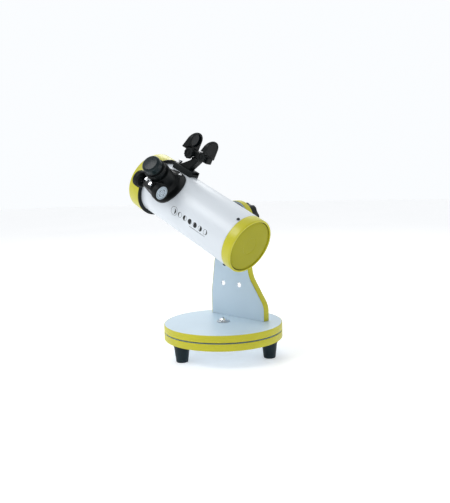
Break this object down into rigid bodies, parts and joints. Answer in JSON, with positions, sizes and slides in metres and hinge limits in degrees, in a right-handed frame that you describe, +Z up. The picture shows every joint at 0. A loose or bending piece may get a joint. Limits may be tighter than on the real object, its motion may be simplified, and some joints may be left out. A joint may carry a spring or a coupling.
{
  "type": "newtonian reflector telescope",
  "caption": "Short-tube tabletop Newtonian reflector on a single-arm rotating wooden base, with rack focuser, eyepiece, sighting finder and a front filter cell.",
  "frame": {"origin": "on the table top, under the centre of the round base and on the azimuth axis", "axes": "+Z up along the azimuth axis, -X the way the tube points, +Y from the tube to the arm, parallel to the altitude axis"},
  "size_m": [0.2951, 0.2237, 0.4036],
  "materials": {
    "melamine": "satin white melamine on particle board",
    "lime_edging": "satin edge band",
    "foot_plastic": "moulded satin",
    "nylon": "plain",
    "chrome": "polished",
    "steel": "brushed",
    "black_steel": "black oxide",
    "tube_paint": "gloss white enamel",
    "lime_plastic": "satin gloss",
    "black_plastic": "fine moulded grain",
    "cap_plastic": "soft gloss",
    "mirror": "aluminised",
    "lens": "coated",
    "film": "silvered film"
  },
  "bodies": {
    "base": {"ground_board": "melamine", "ground_edge_band": "lime_edging", "foot_1": "foot_plastic", "foot_2": "foot_plastic", "foot_3": "foot_plastic", "glide_pad_1": "nylon", "glide_pad_2": "nylon", "glide_pad_3": "nylon", "pivot_bolt": "chrome", "pivot_nut": "steel", "pivot_washer": "steel"},
    "turntable": {"turntable_board": "melamine", "turntable_edge_band": "lime_edging", "arm_board": "melamine", "arm_edge_band": "lime_edging", "arm_bolt_1": "steel", "arm_bolt_2": "steel", "cross_dowel_1": "chrome", "cross_dowel_2": "chrome"},
    "tube": {"altitude_hub": "black_plastic", "altitude_washer": "nylon", "altitude_bolt": "steel", "optical_tube": "tube_paint", "front_ring": "black_plastic", "rear_ring": "lime_plastic", "rear_cover": "lime_plastic", "mirror_cell": "black_plastic", "primary_mirror": "mirror", "rear_screw_1": "black_steel", "rear_screw_2": "black_steel", "rear_screw_3": "black_steel", "spider": "black_plastic", "secondary_holder": "black_plastic", "secondary_mirror": "mirror", "focuser_body": "black_plastic", "flange_screw_1": "chrome", "flange_screw_2": "chrome", "finder_shoe": "black_plastic"},
    "clamp_knob": {"altitude_knob": "black_plastic"},
    "front_cell": {"filter_cell": "lime_plastic", "solar_film": "film", "film_retainer": "black_plastic"},
    "draw": {"drawtube": "black_plastic", "rack": "steel"},
    "pinion": {"pinion_shaft": "steel", "focus_knob_front": "black_plastic", "focus_knob_rear": "black_plastic"},
    "focus_lock": {"focus_lock_screw": "chrome"},
    "eyepiece_clamp": {"eyepiece_set_screw": "chrome"},
    "eyepiece": {"eyepiece_barrel": "chrome", "eyepiece_body": "black_plastic", "eye_lens": "lens"},
    "cap": {"eyepiece_cap": "cap_plastic"},
    "finder": {"finder_stalk": "black_plastic", "finder_body": "black_plastic", "finder_lens": "lens", "finder_screen": "black_plastic"},
    "finder_clamp": {"finder_shoe_screw": "chrome"},
    "front_wheel": {"finder_front_wheel": "black_plastic"},
    "rear_wheel": {"finder_rear_wheel": "black_plastic"}
  },
  "joints": [
    {"name": "azimuth", "type": "hinge", "parent": "base", "child": "turntable", "pos_m": [0, 0, 0.05], "axis": [0, 0, 1], "continuous": true},
    {"name": "altitude", "type": "hinge", "parent": "turntable", "child": "tube", "pos_m": [-0.0045, 0.035, 0.2435], "axis": [0, 1, 0], "range_deg": [-24.4, 65.5]},
    {"name": "altitude_clamp", "type": "hinge", "parent": "tube", "child": "clamp_knob", "pos_m": [-0.0045, 0.06835, 0.2435], "axis": [0, 1, 0], "range_deg": [0, 360]},
    {"name": "front_cell_pull", "type": "slide", "parent": "tube", "child": "front_cell", "axis": [-0.9103, 0, 0.4141], "range_m": [0, 0.03]},
    {"name": "focus_travel", "type": "slide", "parent": "tube", "child": "draw", "axis": [0.2589, -0.7804, 0.5691], "range_m": [-0.005, 0.02]},
    {"name": "focus_spin", "type": "hinge", "parent": "tube", "child": "pinion", "pos_m": [-0.0823, -0.09237, 0.31035], "axis": [-0.9103, 0, 0.4141], "range_deg": [-240, 61]},
    {"name": "focus_lock_turn", "type": "hinge", "parent": "tube", "child": "focus_lock", "pos_m": [-0.07201, -0.10065, 0.31365], "axis": [0.2589, -0.7804, 0.5691], "range_deg": [0, 360]},
    {"name": "eyepiece_clamp_turn", "type": "hinge", "parent": "draw", "child": "eyepiece_clamp", "pos_m": [-0.0768, -0.10416, 0.32244], "axis": [-0.3231, -0.6252, -0.7104], "range_deg": [0, 360]},
    {"name": "eyepiece_pull", "type": "slide", "parent": "draw", "child": "eyepiece", "axis": [0.2589, -0.7804, 0.5691], "range_m": [0, 0.03]},
    {"name": "eyepiece_cap_pull", "type": "slide", "parent": "eyepiece", "child": "cap", "axis": [0.2589, -0.7804, 0.5691], "range_m": [0, 0.015]},
    {"name": "finder_slide", "type": "slide", "parent": "tube", "child": "finder", "axis": [-0.9103, 0, 0.4141], "range_m": [-0.04, 0]},
    {"name": "finder_clamp_turn", "type": "hinge", "parent": "tube", "child": "finder_clamp", "pos_m": [-0.09249, -0.00774, 0.35315], "axis": [0.41, 0.1392, 0.9014], "range_deg": [0, 360]},
    {"name": "finder_front_wheel_turn", "type": "hinge", "parent": "finder", "child": "front_wheel", "pos_m": [-0.0616, -0.01431, 0.36674], "axis": [0.0576, -0.9903, 0.1267], "range_deg": [-150, 150]},
    {"name": "finder_rear_wheel_turn", "type": "hinge", "parent": "finder", "child": "rear_wheel", "pos_m": [-0.0293, -0.01354, 0.35803], "axis": [0.0576, -0.9903, 0.1267], "range_deg": [-150, 150]}
  ],
  "couplings": [
    {"joint": "focus_spin", "follows": "focus_travel", "rad_per_m": -208.33}
  ]
}
